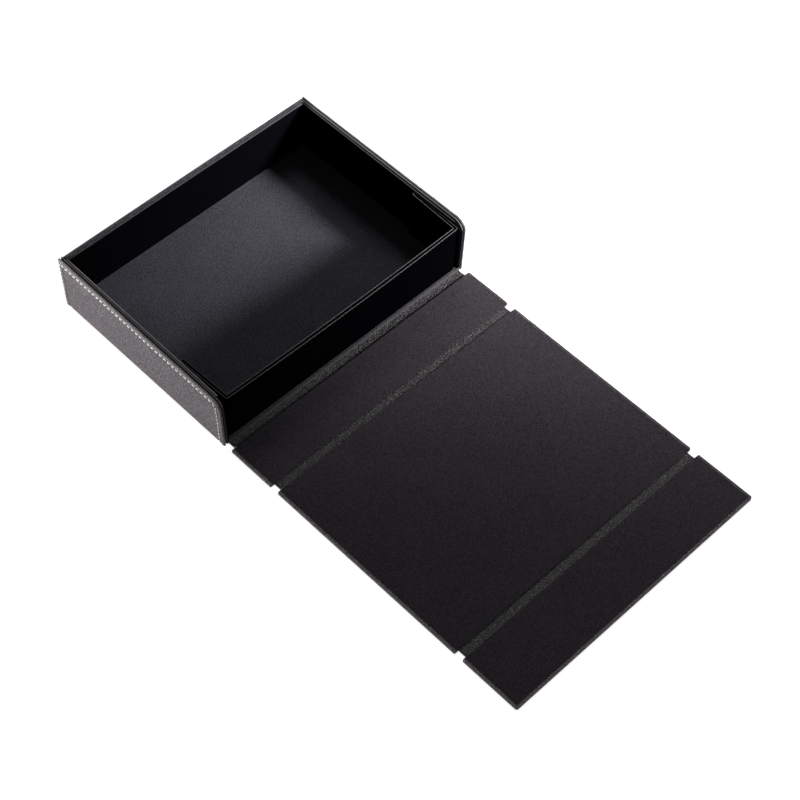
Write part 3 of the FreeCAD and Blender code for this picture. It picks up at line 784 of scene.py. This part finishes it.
# Painted light: the floor's cloth is the same microfibre as the cover's, with a bluer cast painted
# in.
FLOOR_CLOTH = microfibre("floor_cloth", (0.1040, 0.1000, 0.1220), (0.0090, 0.0087, 0.0105), 0.02)
FLOOR_ROUND = 0.12 * MM
finish_nodes(CARD, "floor_card")
floor_top = mesh_from(
    soften(part_form("floor_cloth"), FLOOR_ROUND), "floor_top", FLOOR_CLOTH, "box"
)
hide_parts("floor_cloth")


# --- Cover panels --------------------------------------------------------------------------------
# Card panels glued to the outer skin, which turns up round their ends. Microfibre lines the inside
# and stops just short of the leather. Along the grooves the leather runs up the cards' edges.

# Painted light: the cover's cloth is the same microfibre as the floor's, with a warmer cast painted
# in.
COVER_CLOTH = microfibre("cover_cloth", (0.0846, 0.0755, 0.0890), (0.0274, 0.0245, 0.0289), 0.02)
GROOVE_LEATHER = pebbled_leather(
    "groove_leather", 1.1 * MM, 0.55 * MM, (0.190, 0.181, 0.188), (0.002, 0.0019, 0.002), 0.3
)
HEM = 0.15 * MM
HEM_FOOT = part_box("lid_groove_near")[1].z + 2 * HAIR
SKIN_ROUND = 0.24 * MM
LINING_ROUND = 0.16 * MM


def upturned(cloth, card):
    """The groove leather's margins, up the long edges that a card and its cloth share."""
    low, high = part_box(cloth)
    card_low, card_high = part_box(card)
    top = low.z + HEM
    edges = [(card_high.y - HAIR, card_high.y + HEM)]
    if low.y < card_low.y + HAIR:
        edges.append((card_low.y - HEM, card_low.y + HAIR))
    form = bmesh.new()
    for near, far in edges:
        corners = ((near, HEM_FOOT), (far, HEM_FOOT), (far, top), (near, top))
        ends = [[form.verts.new((x, y, z)) for y, z in corners] for x in (low.x, high.x)]
        for end in ends:
            form.faces.new(end)
        for i in range(len(corners)):
            form.faces.new((ends[0][i - 1], ends[0][i], ends[1][i], ends[1][i - 1]))
    bmesh.ops.recalc_face_normals(form, faces=form.faces)
    return form


def clear_of(ends):
    """A test for edges to be rounded: those at the ends stay sharp, because the skin runs on."""
    def rounded(edge):
        return not any(
            all(abs(vert.co.y - end) < 2 * HAIR for vert in edge.verts) for end in ends
        )
    return rounded


for panel in ("front_strip", "lid", "closing_flap"):
    card_low, card_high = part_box(f"{panel}_card")
    ends = (card_low.y + HAIR, card_high.y - HAIR)
    if panel == "closing_flap":
        ends = (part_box(f"{panel}_leather")[0].y - HAIR, card_high.y - HAIR)
    skin = mesh_from(
        soften(part_form(f"{panel}_leather", ends), SKIN_ROUND, clear_of(ends)),
        f"{panel}_skin", LEATHER, panel,
    )
    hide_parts(f"{panel}_leather")
    lining = mesh_from(
        soften(part_form(f"{panel}_cloth"), LINING_ROUND), f"{panel}_lining", COVER_CLOTH, panel
    )
    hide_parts(f"{panel}_cloth")
    finish_nodes(CARD, f"{panel}_card")
    edging = upturned(f"{panel}_cloth", f"{panel}_card")
    edging = mesh_from(edging, f"{panel}_edging", GROOVE_LEATHER, panel)


# --- Grooves -------------------------------------------------------------------------------------
# Between the panels the outer skin runs on, and a narrow strip of leather is glued over it with
# its grain inwards.

SAG = 0.16 * MM
STEPS_ALONG = 96
STEPS_ACROSS = 16
WAVES_ALONG = 55
WAVES_ACROSS = 160
WAVES_APART = 40
UNEVEN = 0.7


def groove_strip(name, half, near, far, bottom, top, sag, material):
    """A strip of leather across the cover, closed all round, with a surface that lies unevenly."""
    along = STEPS_ALONG
    across = STEPS_ACROSS
    form = bmesh.new()

    def point(i, j, z, uneven):
        x = half * (2 * i / along - 1)
        share = j / across
        y = near + (far - near) * share
        dip = 4 * share * (1 - share)
        wave = noise.noise(Vector((x * WAVES_ALONG, y * WAVES_ACROSS, near * WAVES_APART)))
        return form.verts.new((x, y, z - uneven * dip * UNEVEN * (1 + wave)))

    upper = [[point(i, j, top, sag) for j in range(across + 1)] for i in range(along + 1)]
    lower = [[point(i, j, bottom, 0) for j in range(across + 1)] for i in range(along + 1)]
    for sheet in (upper, lower):
        for i in range(along):
            for j in range(across):
                form.faces.new((sheet[i][j], sheet[i + 1][j], sheet[i + 1][j + 1], sheet[i][j + 1]))
    for i in range(along):
        for j in (0, across):
            form.faces.new((upper[i][j], upper[i + 1][j], lower[i + 1][j], lower[i][j]))
    for j in range(across):
        for i in (0, along):
            form.faces.new((upper[i][j], upper[i][j + 1], lower[i][j + 1], lower[i][j]))
    bmesh.ops.recalc_face_normals(form, faces=form.faces)
    for face in form.faces:
        face.smooth = abs(face.normal.z) > 0.5
    mesh = bpy.data.meshes.new(name)
    form.to_mesh(mesh)
    form.free()
    mesh.materials.append(material)
    strip = bpy.data.objects.new(name, mesh)
    bpy.context.scene.collection.objects.link(strip)
    return strip


GROOVES = (
    ("front", "box", "front_strip", FRONT_Y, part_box("front_strip_card")[1].y),
    ("lid", "front_strip", "lid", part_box("front_strip_card")[0].y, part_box("lid_card")[1].y),
    ("flap", "lid", "closing_flap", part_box("lid_card")[0].y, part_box("closing_flap_card")[1].y),
)
for groove, near_body, far_body, near, far in GROOVES:
    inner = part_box(f"{groove}_groove_near")
    half = inner[1].x
    for name, bottom, top, sag, material in (
        (f"{groove}_groove_inside", inner[0].z, inner[1].z, SAG, GROOVE_LEATHER),
        (f"{groove}_groove_outside", 0.0, inner[0].z, 0.0, LEATHER),
    ):
        strip = groove_strip(name, half, near, far, bottom, top, sag, material)
        if name.endswith("inside"):
            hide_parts(f"{groove}_groove_near", f"{groove}_groove_far")
        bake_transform(strip)


# --- Closing magnets -----------------------------------------------------------------------------
# Nickel-plated discs, let into the cards of the back wall and of the closing flap.


def nickel():
    """Nickel plating, a little hazy."""
    plate = Finish("nickel_plate", metallic=1.0)
    haze = plate.grain(plate.place(), 1.5 * MM, 3.0)
    colour = plate.mix(haze, (0.62, 0.61, 0.58, 1), (0.74, 0.73, 0.70, 1))
    return plate.surface(base_color=colour, roughness=0.22 + haze * 0.1)


finish_nodes(nickel(), "back_magnets", "flap_magnets")


# --- Studio --------------------------------------------------------------------------------------
# A white table. A strong lamp stands at the front right, a wide weak one hangs over the right rear
# and a small one stands low beside the left wall. Weak light comes from all round.

TABLE_SIZE = 12
TABLE_DROP = 0.02 * MM
TABLE_GLOW = 0.90
ALL_ROUND = 0.06


def plainly_seen(finish):
    """1 to the camera, in reflections and through glass, and 0 to the light on other things."""
    camera, glossy, clear = (
        finish.add("ShaderNodeLightPath", out=f"Is {ray} Ray")
        for ray in ("Camera", "Glossy", "Transmission")
    )
    return camera.maths("MAXIMUM", camera.maths("MAXIMUM", camera, glossy), clear)


def white_table():
    """White wherever it is seen, and plain diffuse to everything else."""
    table = Finish("white_table", roughness=0.9, base_color=(0.82, 0.82, 0.82, 1))
    glow = plainly_seen(table) * TABLE_GLOW
    return table.surface(emission_color=(1.0, 1.0, 1.0, 1), emission_strength=glow)


class Surroundings(Finish):
    """The world's own light, built with the methods of a finish."""

    def __init__(self, name):
        world = bpy.data.worlds.new(name)
        world.use_nodes = True
        bpy.context.scene.world = world
        self.tree = world.node_tree
        self.feed(
            self.tree.nodes["Background"],
            {"Color": (1, 1, 1, 1), "Strength": plainly_seen(self) * (1 - ALL_ROUND) + ALL_ROUND},
        )


bpy.ops.mesh.primitive_plane_add(size=TABLE_SIZE, location=(0, 0, -TABLE_DROP))
table = bpy.context.object
table.name = "table"
table.data.materials.append(white_table())
Surroundings("studio")


def lamp(name, place, aim, angle, radius, power):
    """A round lamp with a soft edge, turned towards a point."""
    light = bpy.data.lights.new(name, "SPOT")
    light.spot_size = math.radians(angle)
    light.spot_blend = 1.0
    light.shadow_soft_size = radius
    light.energy = power
    holder = bpy.data.objects.new(name, light)
    holder.location = place
    holder.rotation_euler = (Vector(aim) - Vector(place)).to_track_quat("-Z", "Y").to_euler()
    bpy.context.scene.collection.objects.link(holder)


lamp("key", (0.750, -1.080, 0.637), (0.32, 0.50, 0), 44, 0.14, 575)
lamp("rear", (0.860, 0.498, 1.060), (0.50, -0.20, 0), 60, 0.34, 48.0)
lamp("left", (-0.485, 0.379, 0.012), (-0.10, 0.06, 0.02), 70, 0.01, 19)

# The camera's place, and its own right, down and ahead as directions in the frame.
PLACE = (-0.4977, -0.5883, 0.9455)
RIGHT = Vector((0.71517159, -0.69835579, 0.02878857))
DOWN = Vector((-0.55419948, -0.59167928, -0.58547294))
AHEAD = Vector((0.42590202, 0.40275901, -0.81018063))
camera = bpy.data.cameras.new("camera")
camera.lens = 89.0
camera.sensor_width = 36.0
camera.clip_start = 0.01
holder = bpy.data.objects.new("camera", camera)
turned = Matrix((RIGHT, -DOWN, -AHEAD)).transposed().to_4x4()
holder.matrix_world = Matrix.Translation(PLACE) @ turned
bpy.context.scene.collection.objects.link(holder)
bpy.context.scene.camera = holder
bpy.context.scene.view_settings.view_transform = "Standard"
